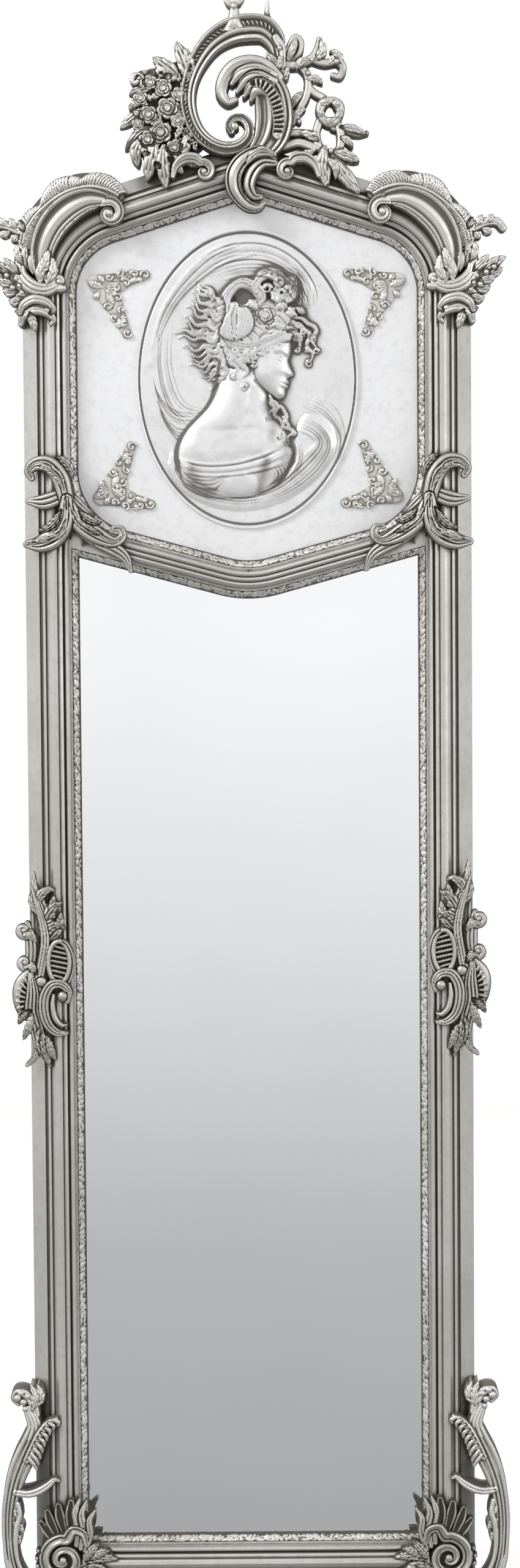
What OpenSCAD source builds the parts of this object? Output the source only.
// Tall silver-leafed wall mirror: a moulded frame with a portrait panel over the glass,
// an openwork crest and carved scrolls on shoulders, sides and corners.
// Everything is drawn flat, x across, y up and z out from the wall, and then stood up.

/* [Frame] */
// Width over the outer edges of the two stiles
frame_w = 522; // [490:2:580]
// Height of the hanging line above the foot
hang_z = 1420; // [1400:5:1440]
// Height of the bottom rail's lower edge above the foot
foot_gap = 11; // [8:1:16]
// Height of the centres of the shoulder bends above the foot
spring_z = 1540; // [1535:5:1560]
// Slope of the two raking rails
rake = 17.5; // [16:0.5:18.5]
// Slope of the two arms of the transom
dip = 15.3; // [14.5:0.1:16]
// Height of the transom's lower sight line, where its two arms would meet
transom_z = 1180; // [1160:5:1190]

/* [Moulding] */
// Width of the moulding without its sight edge
mould_w = 54; // [52:1:56]
// Height of the moulding's broad band above the wall
mould_h = 42; // [40:1:46]
// Height of the moulding's outer side above the wall
side_h = 14; // [12:1:16]
// Width of the rippled sight edge
sight_w = 9; // [7:1:10]
// Height of the sight edge above the wall
sight_h = 21.5; // [20:0.5:24]
// Width of the transom's body
transom_w = 27; // [24:1:30]
// Width of the rabbet behind the moulding's lip
rabbet_w = 8; // [6:1:10]

/* [Bends] */
// Radius of the panel's sight line at the shoulders
shoulder_r = 62; // [55:1:68]
// Radius of the panel's sight line at its lower corners
corner_r = 72; // [66:1:78]
// Radius of the panel's sight line at its lowest point
dip_r = 90; // [80:2:110]

/* [Glass and boards] */
// Thickness of the mirror glass
glass_t = 4; // [3:0.5:5]
// Thickness of the board behind the glass
back_t = 4; // [3:0.5:5]
// Thickness of the portrait panel's board
panel_t = 6; // [5:0.5:7]
// Width of the strips that hold glass and panel
strip_w = 8; // [6:1:12]
// Height of the hanging batten
batten_w = 50; // [40:2:70]

/* [Portrait panel] */
// Width of the oval medallion
oval_w = 259; // [240:1:270]
// Height of the oval medallion
oval_h = 348; // [330:1:360]
// Height of the oval's centre above the foot
oval_z = 1441; // [1435:1:1446]
// Width of the oval's rim
rim_w = 3; // [2:0.5:5]
// Thickness of the corner appliques
applique_t = 4.5; // [3:0.5:6]

/* [Hangers] */
// Distance of a hanger from the stile's outer edge
hanger_in = 32; // [30:1:34]
// Depth of the pocket that a hanger lies in
pocket_d = 8; // [7.6:0.2:9]
// Diameter of the ring's wire
ring_wire = 3; // [2.6:0.2:3.2]
// Radius of the ring's bow, to the middle of the wire
ring_r = 11; // [10:0.5:12]
// Length of the ring's straight legs
ring_leg = 10; // [8:1:12]
// Radial clearance of the ring in the strap's eye
eye_fit = 0.05; // [0.03:0.01:0.08]
// Thickness of the hanger strap
strap_t = 1.5; // [1.2:0.1:1.8]
// Width of the hanger strap
strap_w = 13; // [12:0.5:14]
// Length of the hanger strap below its eye
strap_l = 46; // [44:1:50]
// Diameter of the screws
screw_d = 3.2; // [2.5:0.1:4]
// Length of the screws' shanks
screw_l = 12; // [8:1:16]
// Diameter of the screws' heads
screw_head = 6.4; // [5:0.2:7]

/* [Crest] */
// Height of the finial above its foot on the ring
finial_h = 46; // [40:1:60]
// Height of the crest's back above the wall
crest_back = 3; // [2.8:0.1:4]
// Width of the two steel straps behind the crest
crest_strap_w = 14; // [10:1:16]
// Thickness of the two steel straps behind the crest
crest_strap_t = 2.5; // [1.5:0.1:2.6]

/* [Carving] */
// Clearance between a carved piece and what it sits on
seat = 0.3; // [0.2:0.05:0.5]
// Height above the wall where the carved side pieces start
carve_back = 12; // [8:1:16]
// How far the right side ornament sits above the left one
side_lift = 10; // [0:1:14]

/* [Hidden] */

silver = [0.80, 0.79, 0.76];
bright = [0.88, 0.87, 0.84];
dark_silver = [0.62, 0.60, 0.57];
steel = [0.72, 0.73, 0.75];

half_w = frame_w / 2;
full_w = mould_w + sight_w;
sight_x = half_w - full_w;
sill_z = foot_gap + full_w;
glass_front = back_t * 2 + glass_t;
lip_h = glass_front + seat;
bend_x = sight_x - shoulder_r;
turn = 90 - rake;
corner_x = sight_x - corner_r;
lower_dip_r = dip_r + sight_w * 2 + transom_w;
panel_sill_z = transom_z + (sight_w * 2 + transom_w) / cos(dip);
corner_z = panel_sill_z + corner_x * tan(dip) + corner_r / cos(dip);
dip_z = panel_sill_z + dip_r / cos(dip);
hanger_x = half_w - hanger_in;
eye_h = pocket_d - 3.5;
eye_in = ring_wire / 2 + eye_fit;
eye_out = eye_in + strap_t;
strap_floor = pocket_d - strap_t;
strap_screw_z = [28, 40];
// Where the carving was drawn: the stiles' outer edge, the shoulder bend, the frame's apex, the transom's
// end and the foot. The shifts below carry each carved piece along with its place on the frame.
drawn_half_w = 261;
drawn_spring_z = 1540;
drawn_apex_z = 1713.7;
drawn_corner_z = 1335.8;
drawn_foot_gap = 11;
side_shift = half_w - drawn_half_w;
crest_shift = apex_z(full_w) - drawn_apex_z;
board_edge = mould_w - rabbet_w;
slack = 0.4;

// Stands a flat drawing up against the wall, with the hanging line at the origin
module stand() translate([0, 0, -hang_z]) rotate([90, 0, 0]) children();
module flip() mirror([1, 0, 0]) children();

module at_crest() translate([0, crest_shift, 0]) children();
module at_shoulder() translate([side_shift, spring_z - drawn_spring_z, 0]) children();
module at_transom() translate([side_shift, corner_z - drawn_corner_z, 0]) children();
module at_side() translate([side_shift, 0, 0]) children();
module at_foot() translate([side_shift, foot_gap - drawn_foot_gap, 0]) children();

// Points along an arc
function arc(c, r, a0, a1, n = 10) =
    [for (i = [0:n]) let(a = a0 + (a1 - a0) * i / n) [c.x + r * cos(a), c.y + r * sin(a)]];

// The panel's outline, d outside its sight line, as points from the apex round by the left
function apex_z(d) = spring_z + (shoulder_r + d) / cos(rake) + bend_x * tan(rake);
function panel_half(d) = concat(
    [[0, apex_z(d)]],
    arc([-bend_x, spring_z], shoulder_r + d, 180 - turn, 180),
    arc([-corner_x, corner_z], corner_r + d, 180, 270 - dip),
    arc([0, dip_z], dip_r + d, 270 - dip, 270, 4)
);
function mirrored(p) = [for (i = [len(p) - 1:-1:0]) [-p[i].x, p[i].y]];
function panel_outline(d) = concat(panel_half(d), mirrored(panel_half(d)));

// The mirror's outline, d outside its sight line
function head_z(x, d) = transom_z + x * tan(dip) + d / cos(dip);
function head_half(d) = concat(
    [[-sight_x - d, head_z(sight_x + d, d)]],
    arc([0, dip_z], lower_dip_r - d, 270 - dip, 270, 4)
);
function mirror_half(d) = concat([[-sight_x - d, sill_z - d]], head_half(d));
function mirror_outline(d) = concat(mirror_half(d), mirrored(mirror_half(d)));

// The frame's outer outline, d outside it
function frame_half(d) = concat(
    [[0, apex_z(full_w + d)]],
    arc([-bend_x, spring_z], shoulder_r + full_w + d, 180 - turn, 180, 12),
    [[-half_w - d, foot_gap - d]]
);
function frame_outline(d) = concat(frame_half(d), mirrored(frame_half(d)));

// Section of the frame moulding: x is the distance from its outer edge, y the height above the wall
cove = [for (i = [0:8]) [17 - 17 * cos(i * 11.25), side_h + (mould_h - 8 - side_h) * (1 - sin(90 - i * 11.25))]];
astragal = [for (i = [0:6]) [48.6 - 2.5 * cos(i * 30), mould_h - 8.5 + 2.5 * sin(i * 30)]];
moulding = concat(
    [[0, 0]],
    cove,
    [[18.5, mould_h - 11], [20, mould_h - 11], [21, mould_h - 5], [24, mould_h - 4.5], [24.5, mould_h - 7]],
    [[27, mould_h - 4], [30, mould_h - 1], [33, mould_h], [36, mould_h - 0.6], [38, mould_h - 2.2]],
    [[38.6, mould_h - 5], [39.4, mould_h - 4.4], [41.5, mould_h - 3.4], [43.8, mould_h - 4.4]],
    [[44.6, mould_h - 11]],
    astragal,
    [[51.4, sight_h + 0.5], [mould_w, sight_h], [mould_w, lip_h], [board_edge, lip_h], [board_edge, 0]]
);

// Section of the transom: three reeds between two flats, from the panel's side down
transom_flat = 3.6;
reed_gap = 0.9;
reed_w = (transom_w - 2 * (transom_flat + reed_gap)) / 3;
reeds = [for (k = [0:2]) for (i = [0:4])
    [transom_flat + reed_gap + reed_w * (k + 0.5 - 0.46 * cos(i * 45)), mould_h - 3 + 3 * sin(i * 45)]];
transom_section = concat(
    [[0, lip_h], [0, sight_h], [transom_flat, sight_h]],
    reeds,
    [[transom_w - transom_flat, sight_h], [transom_w, sight_h], [transom_w, lip_h]]
);

// Section of a sight edge, from the moulding's lip to the glass
sight_section = [
    [0, lip_h], [0, sight_h], [2.5, sight_h], [5, sight_h - 1.5], [7.5, sight_h - 4.5],
    [sight_w, lip_h + 2.5], [sight_w, lip_h]
];

// A straight run of a section from p, heading along angle a, its x axis to the left of the way
module run(p, a, l) translate(p) rotate([0, 0, a]) rotate([90, 0, 90]) linear_extrude(l) polygon(points = $section);
// A bend of a section round c, whose x axis starts at radius r and points inward
module bend(c, r, a0, a1)
    translate(c) rotate_extrude(start = a0, angle = a1 - a0, $fn = 96)
        polygon([for (q = $section) [r - q.x, q.y]]);
// A trim that follows outlines: one outline for each point of its section, at that point's height.
// Each quad is split along its shorter diagonal.
module trim(lines, section) {
    n = len(lines[0]);
    m = len(lines);
    points = [for (j = [0:m - 1]) for (q = lines[j]) [q.x, q.y, section[j].y]];
    sides = [for (j = [0:m - 1]) for (i = [0:n - 2])
        let(a = j * n + i, b = (j + 1) % m * n + i)
        each norm(points[a + 1] - points[b]) < norm(points[a] - points[b + 1])
            ? [[a, b, a + 1], [b, b + 1, a + 1]]
            : [[a, b, b + 1], [a, b + 1, a + 1]]];
    ends = [[for (j = [m - 1:-1:0]) j * n], [for (j = [0:m - 1]) j * n + n - 1]];
    polyhedron(points, concat(sides, ends));
}
module mask(points) intersection() {
    children();
    translate([0, 0, -1]) linear_extrude(mould_h + 2) polygon(points);
}

// A screw from the back: its head lies on height h, its shank goes forward
module screw(p, h) translate([p.x, p.y, h]) {
    translate([0, 0, -1.8]) cylinder(d = screw_head, h = 1.8, $fn = 32);
    cylinder(d = screw_d, h = screw_l, $fn = 24);
}
module screw_hole(p, h) translate([p.x, p.y, h - 1]) cylinder(d = screw_d + 0.2, h = screw_l + 1.5, $fn = 24);

// Screw places
hanger_screw_places = [for (s = [-1, 1]) for (z = strap_screw_z) [s * hanger_x, hang_z - z]];
batten_screw_places = [for (s = [-1, 1]) for (k = [-1, 1]) [s * (sight_x - 30), hang_z + k * batten_w / 4]];
crest_strap_x = [-66, 34];
crest_strap_foot = [for (x = crest_strap_x) apex_z(full_w - 40) - abs(x) * tan(rake)];
crest_strap_head = [1790 + crest_shift, 1806 + crest_shift];
strap_screw_places = [for (i = [0, 1]) [crest_strap_x[i], crest_strap_foot[i] + 14]];

// Frame

module stile_form() {
    $section = moulding;
    difference() {
        mask([[-half_w, foot_gap], [-half_w, spring_z], [-sight_x, spring_z], [-sight_x, sill_z]])
            run([-half_w, spring_z], -90, spring_z - foot_gap);
        translate([-hanger_x, hang_z, -1]) hanger_pocket();
        for (z = strap_screw_z) screw_hole([-hanger_x, hang_z - z], pocket_d);
    }
}
module hanger_pocket() {
    pocket_half = ring_r + ring_wire;
    translate([-pocket_half, -strap_l - 2, 0])
        cube([pocket_half * 2, strap_l + ring_r + ring_leg + 18, pocket_d + 1]);
}
module left_stile() color(silver) stand() stile_form();
module right_stile() color(silver) stand() flip() stile_form();

module bottom_rail() color(silver) stand() {
    $section = moulding;
    mask([[-half_w, foot_gap], [half_w, foot_gap], [sight_x, sill_z], [-sight_x, sill_z]])
        run([-half_w, foot_gap], 0, frame_w);
}

module shoulder_rail_form() {
    $section = moulding;
    bend([-bend_x, spring_z], shoulder_r + full_w, 180 - turn, 180);
}
module left_shoulder_rail() color(silver) stand() shoulder_rail_form();
module right_shoulder_rail() color(silver) stand() flip() shoulder_rail_form();

module raking_rail_form(strap_x, strap_foot) {
    $section = moulding;
    reach = bend_x / cos(rake) + full_w;
    start = [-bend_x - (shoulder_r + full_w) * sin(rake), spring_z + (shoulder_r + full_w) * cos(rake)];
    difference() {
        mask([[0, spring_z], [0, apex_z(full_w)], [-half_w, apex_z(full_w)], [-half_w, spring_z]])
            run(start + reach * [cos(rake), sin(rake)], 180 + rake, reach);
        translate([strap_x - crest_strap_w / 2 - 0.2, strap_foot - 0.3, -1])
            cube([crest_strap_w + 0.4, apex_z(full_w) - strap_foot, crest_strap_t + 1.1]);
        screw_hole([strap_x, strap_foot + 14], crest_strap_t);
    }
}
module left_raking_rail() color(silver) stand() raking_rail_form(crest_strap_x[0], crest_strap_foot[0]);
module right_raking_rail() color(silver) stand() flip() raking_rail_form(-crest_strap_x[1], crest_strap_foot[1]);

// Lines along the transom, x below its upper edge. Its corners bend up to end at the stiles, and the lowest
// line there follows the mirror's head, so that a flat web fills each corner. Each corner is two blocks that
// meet on a ray from the middle of the panel's round corner, and the arms meet in the dip.
corner_steps = [7, 3];
corner_joint = 180 + (90 - dip) * corner_steps[0] / (corner_steps[0] + corner_steps[1]);
function transom_low_x(r, turn) = -corner_x + r * cos(turn) / sin(turn + dip - 180);
function transom_corner_line(x, block) =
    let(
        inner_x = half_w - mould_w,
        r = corner_r + sight_w + x,
        from = block == 0 ? 180 + acos(min(1, (inner_x - corner_x) / r)) : corner_joint,
        to = block == 0 ? corner_joint : 270 - dip,
        steps = corner_steps[block],
        q0 = block == 0 ? -inner_x : transom_low_x(r, corner_joint),
        q1 = transom_low_x(r, to)
    )
    x < transom_w
        ? arc([-corner_x, corner_z], r, from, to, steps)
        : [for (i = [0:steps]) let(q = q0 + (q1 - q0) * i / steps) [q, head_z(-q, sight_w)]];
function transom_arm_line(x) = concat(
    [transom_corner_line(x, 1)[corner_steps[1]]],
    arc([0, dip_z], dip_r + sight_w + x, 270 - dip, 270, 4)
);
module transom_corner_form(block) trim([for (q = transom_section) transom_corner_line(q.x, block)], transom_section);
module transom_arm_form() trim([for (q = transom_section) transom_arm_line(q.x)], transom_section);
module left_transom_rail() color(silver) stand() transom_arm_form();
module right_transom_rail() color(silver) stand() flip() transom_arm_form();
module left_transom_corner() color(silver) stand() transom_corner_form(1);
module right_transom_corner() color(silver) stand() flip() transom_corner_form(1);
module left_transom_spandrel() color(silver) stand() transom_corner_form(0);
module right_transom_spandrel() color(silver) stand() flip() transom_corner_form(0);

// Sight edges

function corner_low(d) = [-sight_x - d, sill_z - d];
function corner_high(d) = [-sight_x - d, head_z(sight_x + d, d)];
module side_sight_form() {
    $section = sight_section;
    mask([corner_low(sight_w), corner_low(0), corner_high(0), corner_high(sight_w)])
        run([-sight_x - sight_w, corner_high(sight_w).y], -90, corner_high(sight_w).y - foot_gap);
}
module left_sight_edge() color(bright) stand() side_sight_form();
module right_sight_edge() color(bright) stand() flip() side_sight_form();
module bottom_sight_edge() color(bright) stand() {
    $section = sight_section;
    a = corner_low(sight_w);
    b = corner_low(0);
    mask([a, [-a.x, a.y], [-b.x, b.y], b]) run(a, 0, -a.x * 2);
}
module transom_sight_edge() color(bright) stand() for (s = [0, 1]) mirror([s, 0, 0])
    trim([for (q = sight_section) head_half(sight_w - q.x)], sight_section);

module panel_edge_form() trim([for (q = sight_section) panel_half(sight_w - q.x)], sight_section);
module left_panel_edge() color(bright) stand() panel_edge_form();
module right_panel_edge() color(bright) stand() flip() panel_edge_form();

// Glass and boards

module mirror_glass() color([0.90, 0.92, 0.93]) stand()
    translate([0, 0, glass_front - glass_t]) linear_extrude(glass_t)
        polygon(mirror_outline(sight_w + rabbet_w - slack));
module mirror_backboard() color([0.45, 0.33, 0.22]) stand()
    translate([0, 0, glass_front - glass_t - back_t]) linear_extrude(back_t)
        polygon(mirror_outline(sight_w + rabbet_w - slack));
module panel_board() color(bright) stand()
    translate([0, 0, glass_front - panel_t]) linear_extrude(panel_t)
        polygon(panel_outline(sight_w + rabbet_w - slack));

// Carving

// Soft curve through points: each point is [x, y, half width, height of the crown]
function soft(a, b, c, d, t) =
    b + 0.5 * t * (c - a + t * (2 * a - 5 * b + 4 * c - d + t * (3 * (b - c) + d - a)));
function curve(p, m = 2) = concat(
    [for (i = [0:len(p) - 2]) for (k = [0:m - 1])
        soft(p[max(i - 1, 0)], p[i], p[i + 1], p[min(i + 2, len(p) - 1)], k / m)],
    [p[len(p) - 1]]
);
// A volute that winds from angle a0 to a1 round c while its radius, width and height shrink
function volute(c, r, a, w, h, n = 12) =
    [for (i = [0:n]) let(t = i / n, q = a[0] + (a[1] - a[0]) * t, s = r[0] + (r[1] - r[0]) * t)
        [c.x + s * cos(q), c.y + s * sin(q), w[0] + (w[1] - w[0]) * t, h[0] + (h[1] - h[0]) * t]];
function flat2(v) = [v.x, v.y];
function heading(p, i) =
    let(v = flat2(p[min(i + 1, len(p) - 1)]) - flat2(p[max(i - 1, 0)])) v / max(norm(v), 0.001);
rib = [[-1, 0], [-1, 0.45], [-0.45, 1], [0.45, 1], [1, 0.45], [1, 0]];
function rib_at(q, d, back) =
    [for (s = rib) [q.x - d.y * q[2] * s.x, q.y + d.x * q[2] * s.x, back + (q[3] - back) * s.y]];
// A point inside the stretch before section i, so that each stretch reaches into the last one
function core_at(p, i, back) =
    let(q = p[i] * 0.85 + p[max(i - 1, 0)] * 0.15) [q.x, q.y, back + (q[3] - back) * 0.4];
// The hull of some points
module wrap(points) hull() polyhedron(points = points, faces = [[for (k = [0:len(points) - 1]) k]]);
// A carved band along a path, flat at the back and crowned at the front
module band(p, back = carve_back) for (i = [0:len(p) - 2])
    wrap(concat([core_at(p, i, back)], rib_at(p[i], heading(p, i), back), rib_at(p[i + 1], heading(p, i + 1), back)));
// A leaf lobe from a to b, w wide at its broadest, h high
module lobe(a, b, w, h, back = carve_back) {
    m = a + (b - a) * 0.45;
    p = [[a.x, a.y, w * 0.3, h - 3], [m.x, m.y, w * 0.5, h], [b.x, b.y, w * 0.12, h - 6]];
    wrap([for (i = [0:2]) each rib_at(p[i], heading(p, i), back)]);
}
// Lobes that fan out round c between two angles
module fan(c, r, a, n, w, h, back = carve_back) for (i = [0:n - 1]) {
    t = a[0] + (a[1] - a[0]) * (n > 1 ? i / (n - 1) : 0);
    lobe(c + r[0] * [cos(t), sin(t)], c + r[1] * [cos(t), sin(t)], w, h, back);
}
// A path grown by the seat's clearance, to take out of a neighbour
function grown(p) = [for (q = p) [q.x, q.y, q[2] + seat, q[3] + seat]];
// Takes a carved neighbour's band out of a piece, so that the piece sits against it
module beside(p, back) difference() {
    children();
    band(grown(p), back - seat);
}
// Takes the frame out of a carved piece, so that the piece sits on it
module seated() difference() {
    children();
    translate([0, 0, -1]) linear_extrude(mould_h - 8 + seat + 1) polygon(frame_outline(seat));
    translate([0, 0, -1]) linear_extrude(mould_h + seat + 1) polygon(frame_outline(-18));
}

// Crest

ring_path = [
    [40, 1798, 7, 40], [40, 1808, 9, 40], [36, 1826, 12, 40], [22, 1841, 16, 40], [0, 1843, 17, 38], [-20, 1838, 16, 36],
    [-38, 1826, 14, 36], [-52, 1808, 12, 36], [-62, 1786, 10, 36], [-66, 1764, 9.5, 38], [-63, 1742, 9, 40],
    [-54, 1723, 8.5, 42], [-40, 1710, 8, 46], [-24, 1704, 8, 48], [-8, 1706, 7.5, 50], [3, 1716, 6.5, 50],
    [4, 1729, 5.5, 48], [-3, 1738, 5, 46], [-13, 1738, 4.5, 46], [-19, 1731, 4, 46], [-16, 1724, 4, 46]
];
ring_curve = curve(ring_path);
module cartouche_ring() color(silver) stand() seated() at_crest() {
    band(ring_curve, crest_back);
    lobe([20, 1848], [27, 1874], 12, 26, crest_back);
}

s_path = [
    [-18, 1764, 8, 46], [-14, 1782, 11, 50], [2, 1790, 14, 54], [18, 1784, 17, 54], [29, 1768, 20, 52],
    [33, 1750, 22, 50], [33, 1732, 22, 50], [28, 1715, 20, 50], [20, 1703, 15, 50]
];
s_curve = curve(s_path);
module s_scroll() color(silver) stand() seated() at_crest() beside(ring_curve, crest_back) {
    band(s_curve, crest_back);
    lobe([-14, 1768], [-27, 1758], 9, 44, crest_back);
    lobe([10, 1792], [-6, 1802], 8, 48, crest_back);
    lobe([24, 1786], [38, 1800], 12, 46, crest_back);
}

clasp_outer = [
    [31, 1694, 5, 52], [15, 1699, 8, 55], [-3, 1690, 9, 57], [-13, 1675, 10, 58], [-14, 1660, 9, 57],
    [-8, 1646, 7, 55], [3, 1638, 3, 50]
];
clasp_inner = [[26, 1686, 4, 50], [13, 1684, 6, 53], [6, 1671, 7, 54], [5, 1657, 6, 53], [8, 1646, 3, 50]];
module crest_clasp() color(dark_silver) stand() at_crest() difference() {
    union() {
        band(curve(clasp_outer), mould_h + seat);
        band(curve(clasp_inner), mould_h + seat);
    }
    crest_keepout();
}
// Room for the ring and the S scroll, which end above the clasp
keepout_z = 1688.5;
keepout_h = 51;
module crest_keepout() translate([-frame_w / 2, keepout_z, 0]) cube([frame_w, 60, keepout_h]);

// The finial grows out of the ring's crown
finial_foot = ring_path[4] + [-12, 11, 0, 0];
finial_path = [
    [finial_foot.x, finial_foot.y, 8, 34], [finial_foot.x, finial_foot.y + finial_h * 0.26, 5, 30],
    [finial_foot.x, finial_foot.y + finial_h * 0.57, 7, 28],
    [finial_foot.x + 1, finial_foot.y + finial_h * 0.8, 5, 26], [finial_foot.x + 2, finial_foot.y + finial_h, 1.5, 22]
];
module finial() color(silver) stand() at_crest() beside(ring_curve, crest_back) {
    band(curve(finial_path), crest_back + 1);
    for (q = [[-1, -13, 0.65], [1, 14, 0.63]])
        lobe([finial_foot.x + q[0], finial_foot.y + finial_h * 0.39], [finial_foot.x + q[1], finial_foot.y + finial_h * q[2]],
            6, 24, crest_back + 1);
}

// One rose: a low dome with five petals
module rose(c, r, h, back) {
    fan(c, [r * 0.2, r], [18, 306], 5, r * 0.9, h, back);
    band([[c.x - r * 0.3, c.y, r * 0.35, h + 4], [c.x + r * 0.3, c.y, r * 0.35, h + 4]], back);
}
rose_places = [[-105, 1768, 14, 36], [-88, 1744, 13, 38], [-116, 1742, 12, 34], [-104, 1716, 14, 38], [-84, 1716, 12, 40], [-122, 1786, 9, 32]];
rose_leaves = [
    [[-68, 1790], [-79, 1828], 20, 28], [[-84, 1780], [-106, 1810], 20, 26], [[-110, 1752], [-144, 1730], 18, 26],
    [[-112, 1730], [-138, 1705], 18, 26], [[-104, 1712], [-114, 1670], 20, 47], [[-94, 1704], [-96, 1662], 15, 49],
    [[-120, 1712], [-126, 1684], 15, 44], [[-66, 1716], [-86, 1694], 16, 42]
];
// The ground that carries roses and leaves, beside the ring
rose_ground = [
    [-58, 1802], [-82, 1806], [-100, 1796], [-122, 1792], [-126, 1778], [-116, 1762], [-128, 1744], [-126, 1726],
    [-116, 1706], [-116, 1692], [-98, 1684], [-84, 1692], [-70, 1692], [-52, 1706], [-52, 1724], [-64, 1764]
];
module rose_spray() color(silver) stand() seated() at_crest() beside(ring_curve, crest_back) {
    for (q = rose_places) rose([q[0], q[1]], q[2], q[3], crest_back);
    for (q = rose_leaves) lobe(q[0], q[1], q[2], q[3], crest_back);
    translate([0, 0, crest_back]) linear_extrude(16) polygon(rose_ground);
}

leaf_stems = [
    [[44, 1796, 6, 32], [58, 1808, 7, 34], [62, 1822, 6, 30], [58, 1831, 3, 28]],
    [[44, 1786, 6, 32], [60, 1788, 6, 32], [76, 1798, 5, 34], [90, 1810, 6, 32], [91, 1828, 3, 26]],
    [[76, 1798, 4, 32], [98, 1792, 5, 34], [112, 1796, 5, 32], [110, 1808, 4, 30], [100, 1812, 3, 28]],
    [[60, 1788, 5, 32], [70, 1776, 6, 34], [84, 1762, 7, 36], [92, 1746, 7, 38]],
    [[48, 1736, 5, 32], [66, 1732, 5, 34], [86, 1742, 6, 36]],
    [[92, 1746, 6, 36], [106, 1738, 5, 34], [122, 1724, 6, 30], [138, 1722, 3, 26]],
    [[88, 1742, 5, 34], [80, 1724, 5, 36], [82, 1706, 6, 42], [90, 1690, 8, 46]],
    [[106, 1738, 4, 34], [108, 1720, 5, 36], [104, 1702, 6, 42], [98, 1686, 8, 48], [106, 1670, 6, 50], [124, 1654, 5, 50]],
    [[44, 1706, 6, 40], [62, 1712, 5, 42], [80, 1706, 6, 42]]
];
module leaf_spray() color(silver) stand() seated() at_crest() beside(ring_curve, crest_back) beside(s_curve, crest_back) {
    for (p = leaf_stems) band(p, crest_back);
    rose([94, 1750], 15, 40, crest_back);
    fan([88, 1792], [4, 20], [20, 140], 3, 10, 30, crest_back);
    lobe([98, 1696], [97, 1662], 16, 50, crest_back);
    lobe([104, 1694], [130, 1688], 14, 46, crest_back);
}

foot_scroll_path = concat(
    [[82, 1674, 3, 50], [80, 1684, 5, 52], [71, 1691, 7, 54], [58, 1690, 7, 54]],
    volute([48, 1676], [11, 3], [70, 400], [5.5, 3], [54, 50])
);
module foot_scroll_form() seated() at_crest() band(foot_scroll_path, mould_h - 8);
module left_foot_scroll() color(silver) stand() flip() foot_scroll_form();
module right_foot_scroll() color(silver) stand() foot_scroll_form();

// Shoulders

shoulder_path = concat(
    curve([[230, 1556, 6, 50], [236, 1574, 10, 53], [233, 1596, 13, 56], [222, 1618, 14, 58], [204, 1636, 13, 58],
        [182, 1645, 11, 57], [163, 1643, 8, 55]]),
    volute([156, 1629], [13, 3], [75, 470], [7, 3.5], [55, 52], 14)
);
module shoulder_scroll_form() seated() at_shoulder() band(shoulder_path, mould_h - 8);
module left_shoulder_scroll() color(silver) stand() flip() shoulder_scroll_form();
module right_shoulder_scroll() color(silver) stand() shoulder_scroll_form();

fringe_lobes = [
    [[166, 1662], [170, 1672], 14], [[184, 1662], [192, 1676], 16], [[202, 1656], [214, 1670], 16], [[218, 1646], [232, 1658], 16],
    [[232, 1634], [248, 1644], 16], [[244, 1616], [262, 1626], 16], [[250, 1598], [268, 1602], 14]
];
fringe_base = [[158, 1659, 5, 44], [180, 1662, 7, 48], [202, 1657, 8, 50], [222, 1643, 8, 50], [240, 1625, 8, 50], [251, 1606, 8, 48], [256, 1586, 6, 44]];
fringe_curl = [[250, 1612, 6, 46], [266, 1622, 6, 44], [280, 1624, 5, 42], [290, 1618, 6, 44], [294, 1614, 5, 40]];
module shoulder_fringe_form() seated() at_shoulder() beside(shoulder_path, mould_h - 8) {
    band(fringe_base);
    band(curve(fringe_curl));
    for (q = fringe_lobes) lobe(q[0], q[1], q[2], 44);
}
module left_shoulder_fringe() color(silver) stand() flip() shoulder_fringe_form();
module right_shoulder_fringe() color(silver) stand() shoulder_fringe_form();

leaf_lobes = [
    [[258, 1556], [293, 1574], 14, 44], [[256, 1548], [286, 1556], 14, 46], [[254, 1542], [276, 1532], 14, 46],
    [[248, 1536], [264, 1516], 14, 48], [[240, 1534], [248, 1506], 14, 50], [[232, 1536], [230, 1512], 12, 50],
    [[224, 1540], [216, 1526], 10, 48]
];
module shoulder_leaf_form() seated() at_shoulder() beside(shoulder_path, mould_h - 8) {
    band(concat([[259, 1562, 6, 44], [256, 1550, 9, 50], [244, 1541, 9, 54], [228, 1541, 7, 54]],
        volute([214, 1549], [9, 3], [300, 20], [5, 3], [53, 50], 9)));
    for (q = leaf_lobes) lobe(q[0], q[1], q[2], q[3]);
}
module left_shoulder_leaf() color(dark_silver) stand() flip() shoulder_leaf_form();
module right_shoulder_leaf() color(dark_silver) stand() shoulder_leaf_form();

// Clasps, side ornaments, brackets and shells

clasp_bands = [
    [[211, 1284, 6, 54], [212, 1306, 6, 55], [219, 1328, 6, 54], [232, 1342, 6, 53], [246, 1344, 7, 52], [252, 1337, 6, 50]],
    [[212, 1306, 5, 52], [224, 1300, 6, 53], [237, 1297, 7, 52], [249, 1299, 4, 49]],
    [[211, 1290, 6, 54], [218, 1272, 8, 55], [230, 1258, 9, 54], [244, 1250, 9, 52], [256, 1251, 4, 49]],
    [[208, 1288, 5, 53], [200, 1272, 6, 54], [186, 1260, 6, 54], [170, 1253, 6, 53], [154, 1250, 5, 52], [146, 1258, 4, 51], [148, 1266, 3, 50]],
    [[158, 1250, 4, 50], [144, 1244, 5, 51], [138, 1234, 4, 50], [139, 1222, 3, 49]],
    [[207, 1302, 4, 50], [194, 1290, 5, 51], [182, 1279, 3, 50]]
];
module transom_clasp_form() at_transom() for (p = clasp_bands) band(curve(p), mould_h + seat);
module left_transom_clasp() color(dark_silver) stand() flip() transom_clasp_form();
module right_transom_clasp() color(dark_silver) stand() transom_clasp_form();

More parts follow.
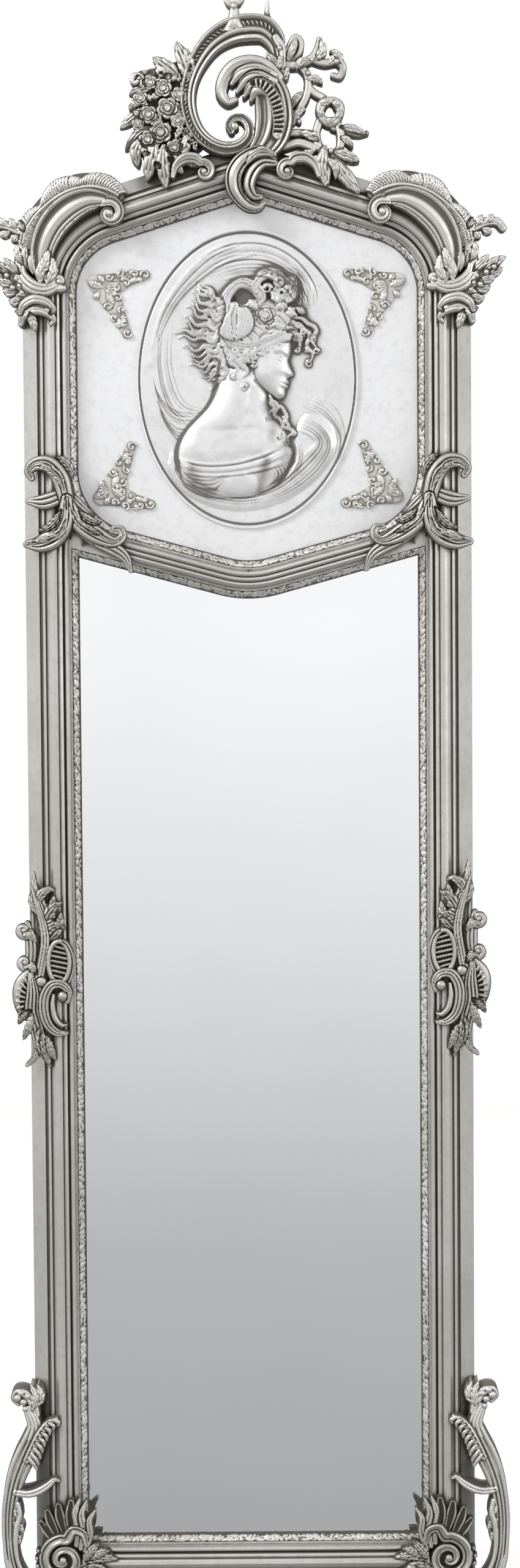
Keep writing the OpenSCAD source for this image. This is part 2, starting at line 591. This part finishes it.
ornament_bands = [
    [[222, 728, 4, 51], [232, 742, 6, 53], [240, 728, 7, 53], [240, 708, 7, 53], [232, 690, 6, 52], [222, 680, 3, 49]],
    [[256, 770, 8, 50], [262, 750, 9, 50], [264, 728, 9, 50], [260, 708, 7, 49], [252, 690, 6, 49], [246, 668, 5, 49], [240, 648, 3, 48]],
    [[250, 804, 9, 50], [244, 828, 9, 50], [250, 848, 6, 48], [254, 866, 2.5, 46]],
    [[250, 808, 10, 50], [245, 780, 11, 51], [248, 752, 12, 51], [252, 726, 10, 50]]
];
ornament_lobes = [
    [[240, 820], [232, 848], 14, 49], [[244, 800], [228, 820], 12, 49], [[256, 812], [274, 808], 14, 46],
    [[254, 784], [274, 770], 14, 46], [[262, 742], [277, 732], 12, 44], [[262, 726], [274, 716], 12, 44],
    [[254, 690], [264, 658], 14, 47], [[246, 684], [249, 656], 12, 48]
];
module side_ornament_form() seated() at_side() {
    for (p = ornament_bands) band(curve(p), mould_h - 8);
    for (q = ornament_lobes) lobe(q[0], q[1], q[2], q[3], mould_h - 14);
    translate([227, 772, mould_h - 8]) linear_extrude(16) scale([1, 1.9]) circle(r = 13, $fn = 24);
}
module left_side_ornament() color(dark_silver) stand() translate([0, -side_lift / 2, 0]) flip() side_ornament_form();
module right_side_ornament() color(dark_silver) stand() translate([0, side_lift / 2, 0]) side_ornament_form();

bracket_path = [
    [256, 256, 3, 48], [266, 250, 5, 48], [274, 243, 7, 48], [267, 231, 6, 49], [260, 212, 9, 50], [264, 194, 12, 50],
    [273, 174, 13, 48], [282, 152, 12, 46], [289, 126, 9.5, 44], [292, 98, 9, 42], [291, 70, 9, 42], [288, 42, 9, 42],
    [278, 19, 8, 42], [263, 8, 8, 44], [248, 13, 6, 46]
];
module side_bracket_form() seated() at_foot() {
    band(curve(bracket_path));
    band([[286, 144, 5, 42], [266, 134, 5, 46], [250, 137, 5, 50], [236, 143, 3, 48]]);
    lobe([268, 200], [243, 206], 12, 50);
    lobe([264, 186], [250, 160], 12, 49);
}
module left_side_bracket() color(silver) stand() flip() side_bracket_form();
module right_side_bracket() color(silver) stand() side_bracket_form();

shell_lobes = [
    [[232, 78], [252, 98], 14], [[226, 82], [240, 108], 14], [[220, 84], [226, 118], 14], [[213, 82], [211, 122], 14],
    [[206, 78], [198, 116], 12]
];
module corner_shell_form() seated() at_foot() {
    band(concat([[212, 94, 5, 49], [210, 76, 6, 51], [211, 58, 7, 53]],
        volute([229, 50], [18, 3], [165, 600], [7.5, 3.5], [54, 50], 16)), mould_h - 8);
    for (q = shell_lobes) lobe(q[0], q[1], q[2], 51, mould_h - 8);
    band([[210, 46, 6, 50], [196, 56, 7, 51], [180, 58, 6, 50], [164, 50, 2, 48]], mould_h - 8);
    lobe([214, 34], [186, 32], 12, 50, mould_h - 8);
}
module left_corner_shell() color(dark_silver) stand() flip() corner_shell_form();
module right_corner_shell() color(dark_silver) stand() corner_shell_form();

// Portrait panel

module oval(d) polygon([for (i = [0:71]) [(oval_w / 2 + d) * cos(i * 5), (oval_h / 2 + d) * sin(i * 5)]]);
// A low dome: its middle from the oval's, its half width and half height, its tilt, and its height above the wall
busts = [
    [[6, 51], [42, 34], 20, 31], [[28, 79], [24, 16], 40, 32], [[-36, 41], [30, 22], -20, 26], [[30, 25], [24, 31], 14, 28],
    [[0, -17], [24, 34], 12, 26], [[-18, -65], [50, 34], 20, 27], [[14, -97], [52, 34], -8, 26], [[52, -59], [34, 22], 40, 21]
];
dome_steps = [[1, 0], [0.92, 0.45], [0.7, 0.8], [0.35, 1]];
module dome(q, base) hull() for (k = dome_steps)
    translate([q[0].x, oval_z + q[0].y, base + (q[3] - base - 0.2) * k.y]) rotate(q[2]) scale([q[1].x * k.x, q[1].y * k.x, 0.2])
        cylinder(r = 1, h = 1, $fn = 24);
module medallion() color(bright) stand() {
    base = glass_front + 0.2;
    translate([0, oval_z, base]) linear_extrude(2.8) oval(0);
    translate([0, oval_z, base]) linear_extrude(4.6) difference() {
        oval(0);
        oval(-rim_w);
    }
    for (q = busts) dome(q, base);
}

// Two arms of pierced foliage that meet in a corner
function arm_points(a, b, n, r) = [for (i = [0:n]) let(t = i / n) concat(a + (b - a) * t, [r * (1 - 0.45 * t)])];
module applique_form(arms) translate([0, 0, glass_front + 0.2]) linear_extrude(applique_t)
    offset(r = 0.8) offset(delta = -0.8) difference() {
        union() {
            for (q = arm_points([0, 0], [-arms[0], arms[1] * 0.22], 5, 13)) translate([q[0], q[1]]) circle(r = q[2], $fn = 18);
            for (q = arm_points([0, 0], [-arms[0] * 0.52, -arms[1]], 5, 13)) translate([q[0], q[1]]) circle(r = q[2], $fn = 18);
            translate([-17, -14]) circle(r = 16, $fn = 24);
        }
        for (q = [[-22, -20], [-24, 2], [-42, 9], [-22, -44]]) translate(q) circle(r = 2.6, $fn = 16);
    }
module upper_applique() at_shoulder() translate([170, 1550, 0]) applique_form([56 + side_shift, 62]);
module lower_applique() at_transom() translate([166, 1308, 0]) mirror([0, 1, 0]) applique_form([60 + side_shift, 60]);
module upper_right_applique() color(dark_silver) stand() upper_applique();
module upper_left_applique() color(dark_silver) stand() flip() upper_applique();
module lower_right_applique() color(dark_silver) stand() lower_applique();
module lower_left_applique() color(dark_silver) stand() flip() lower_applique();

// Back

module hanging_batten() color([0.70, 0.55, 0.36]) stand() difference() {
    translate([-(half_w - board_edge - slack), hang_z - batten_w / 2, 0])
        cube([(half_w - board_edge - slack) * 2, batten_w, glass_front - panel_t]);
    for (p = batten_screw_places) translate([p.x, p.y, -1]) {
        cylinder(d = screw_head + 0.4, h = 3.4, $fn = 32);
        cylinder(d = screw_d + 0.3, h = 12, $fn = 24);
    }
}
module strip(x0, x1, z0, z1, h) translate([x0, z0, 0]) cube([x1 - x0, z1 - z0, h]);
module retaining_strips() color([0.74, 0.60, 0.42]) stand() {
    edge = half_w - board_edge - slack;
    glass_back = glass_front - glass_t - back_t;
    panel_back = glass_front - panel_t;
    sill = foot_gap + board_edge + slack;
    for (s = [0, 1]) mirror([s, 0, 0]) {
        strip(edge - strip_w, edge, sill, head_z(sight_x, sight_w) - 4, glass_back);
        strip(edge - strip_w, edge, corner_z, hang_z - batten_w / 2 - 1, panel_back);
        strip(edge - strip_w, edge, hang_z + batten_w / 2 + 1, spring_z, panel_back);
    }
    strip(-edge + strip_w + 1, edge - strip_w - 1, sill, sill + strip_w, glass_back);
}

module crest_straps() color(steel) stand() difference() {
    for (i = [0, 1]) translate([crest_strap_x[i] - crest_strap_w / 2, crest_strap_foot[i], 0])
        cube([crest_strap_w, crest_strap_head[i] - crest_strap_foot[i], crest_strap_t]);
    for (p = strap_screw_places) translate([p.x, p.y, -1]) cylinder(d = screw_head + 0.4, h = crest_strap_t + 2, $fn = 32);
}

module hanger_strap_form() {
    translate([hanger_x, hang_z, 0]) difference() {
        union() {
            translate([0, 0, eye_h]) rotate([0, 90, 0]) cylinder(r = eye_out, h = strap_w, center = true, $fn = 32);
            translate([-strap_w / 2, -strap_l, strap_floor]) cube([strap_w, strap_l, strap_t]);
        }
        translate([0, 0, eye_h]) rotate([0, 90, 0]) cylinder(r = eye_in, h = strap_w + 2, center = true, $fn = 32);
        for (z = strap_screw_z) translate([0, -z, 0]) cylinder(d = screw_d + 0.2, h = pocket_d + 1, $fn = 24);
    }
}
module left_hanger_strap() color(steel) stand() flip() hanger_strap_form();
module right_hanger_strap() color(steel) stand() hanger_strap_form();

module hanger_ring_form() translate([hanger_x, hang_z, eye_h]) {
    wire = ring_wire / 2;
    bend = ring_wire;
    rotate([0, 90, 0]) cylinder(r = wire, h = (ring_r - bend) * 2, center = true, $fn = 32);
    for (s = [0, 1]) mirror([s, 0, 0]) {
        translate([ring_r - bend, -bend, 0])
            rotate_extrude(start = 0, angle = 90, $fn = 48) translate([bend, 0]) circle(r = wire, $fn = 32);
        translate([ring_r, -bend, 0]) rotate([90, 0, 0]) cylinder(r = wire, h = ring_leg - bend, $fn = 32);
    }
    translate([0, -ring_leg, 0])
        rotate_extrude(start = 180, angle = 180, $fn = 64) translate([ring_r, 0]) circle(r = wire, $fn = 32);
}
module left_hanger_ring() color(steel) stand() flip() hanger_ring_form();
module right_hanger_ring() color(steel) stand() hanger_ring_form();

module hanger_screws() color(steel) stand() for (p = hanger_screw_places) screw(p, strap_floor);
module batten_screws() color(steel) stand() for (p = batten_screw_places) translate([p.x, p.y, 0]) {
    translate([0, 0, 0.4]) cylinder(d = screw_head, h = 1.8, $fn = 32);
    cylinder(d = screw_d, h = glass_front - panel_t, $fn = 24);
}
module strap_screws() color(steel) stand() for (p = strap_screw_places) screw(p, crest_strap_t);

left_stile();
right_stile();
bottom_rail();
left_shoulder_rail();
right_shoulder_rail();
left_raking_rail();
right_raking_rail();
left_transom_rail();
right_transom_rail();
left_transom_corner();
right_transom_corner();
left_transom_spandrel();
right_transom_spandrel();
left_sight_edge();
right_sight_edge();
bottom_sight_edge();
transom_sight_edge();
left_panel_edge();
right_panel_edge();
mirror_glass();
mirror_backboard();
panel_board();
medallion();
upper_left_applique();
upper_right_applique();
lower_left_applique();
lower_right_applique();
cartouche_ring();
s_scroll();
crest_clasp();
finial();
rose_spray();
leaf_spray();
left_foot_scroll();
right_foot_scroll();
left_shoulder_scroll();
right_shoulder_scroll();
left_shoulder_fringe();
right_shoulder_fringe();
left_shoulder_leaf();
right_shoulder_leaf();
left_transom_clasp();
right_transom_clasp();
left_side_ornament();
right_side_ornament();
left_side_bracket();
right_side_bracket();
left_corner_shell();
right_corner_shell();
hanging_batten();
retaining_strips();
crest_straps();
left_hanger_strap();
right_hanger_strap();
left_hanger_ring();
right_hanger_ring();
hanger_screws();
batten_screws();
strap_screws();
